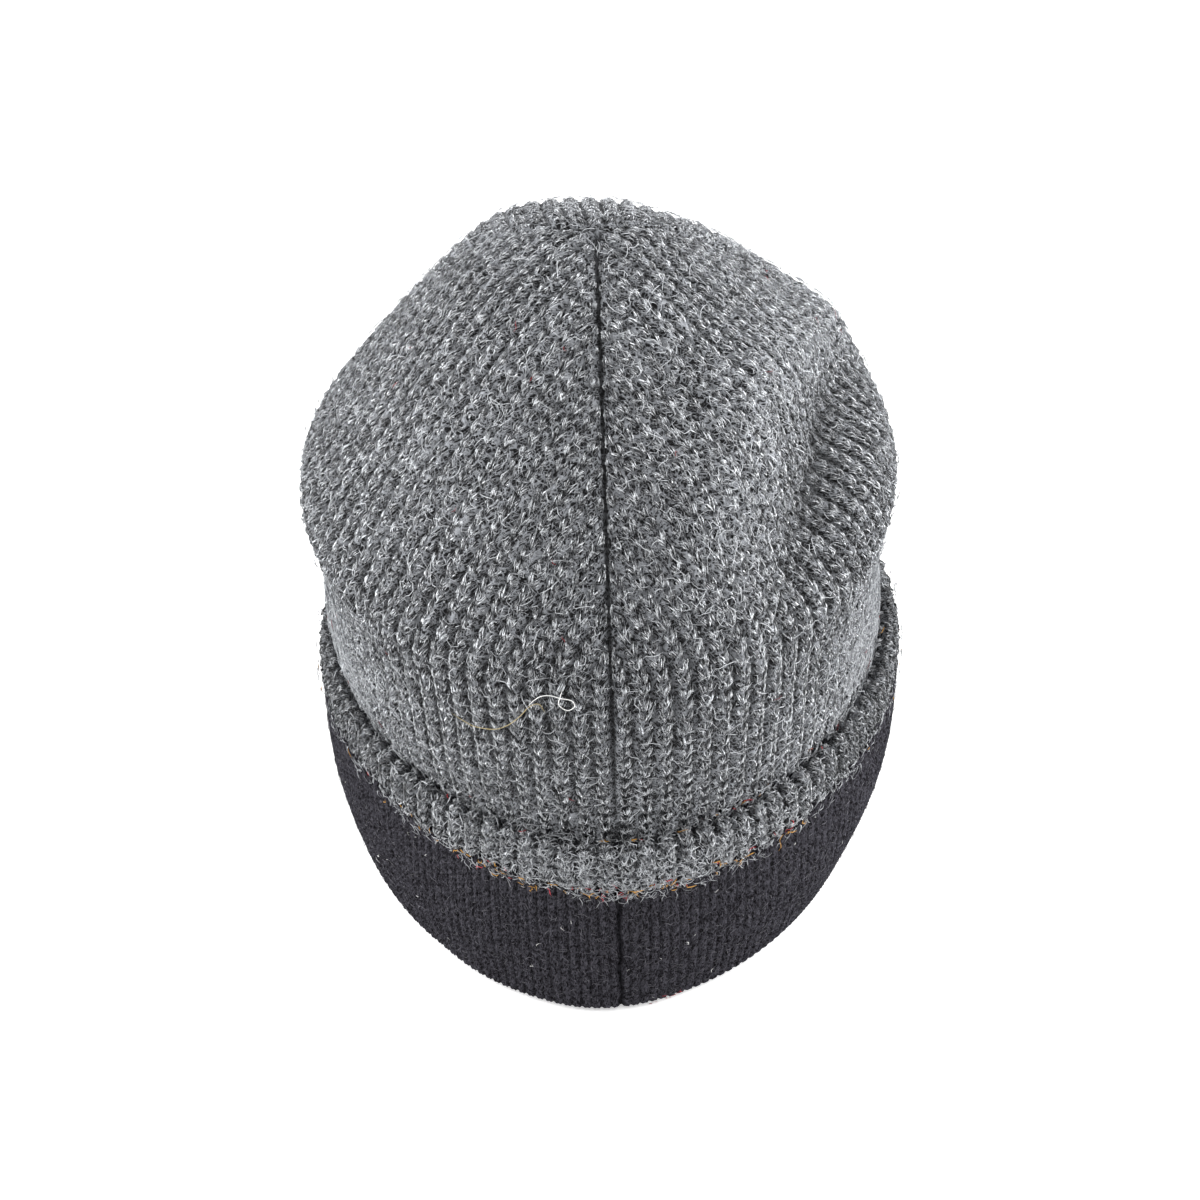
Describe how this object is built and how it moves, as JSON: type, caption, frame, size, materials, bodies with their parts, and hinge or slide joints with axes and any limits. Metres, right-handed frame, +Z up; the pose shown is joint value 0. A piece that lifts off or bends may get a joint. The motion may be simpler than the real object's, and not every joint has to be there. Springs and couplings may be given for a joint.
{
  "type": "cuffed knit beanie",
  "caption": "Soft rib-knit wool beanie with a dart-shaped crown, a folded dark cuff and a thick ribbed edge; open below for the head.",
  "frame": {"origin": "middle of the overall box, in the plane the folded hem stands on", "axes": "+Z up to the crown's tip, -Y the side over the brow, +Y the centre-back seam, +X the wearer's left"},
  "size_m": [0.177, 0.1958, 0.2135],
  "materials": {
    "grey_wool": "heather grey wool rib knit, matt and hairy",
    "black_wool": "black wool in a finer knit, matt, lightly hairy",
    "welt_wool": "heather grey wool, thick ribbed edge, matt and hairy"
  },
  "bodies": {
    "root": {"crown": "grey_wool", "cuff_band": "black_wool", "cuff_welt": "welt_wool"}
  },
  "joints": []
}
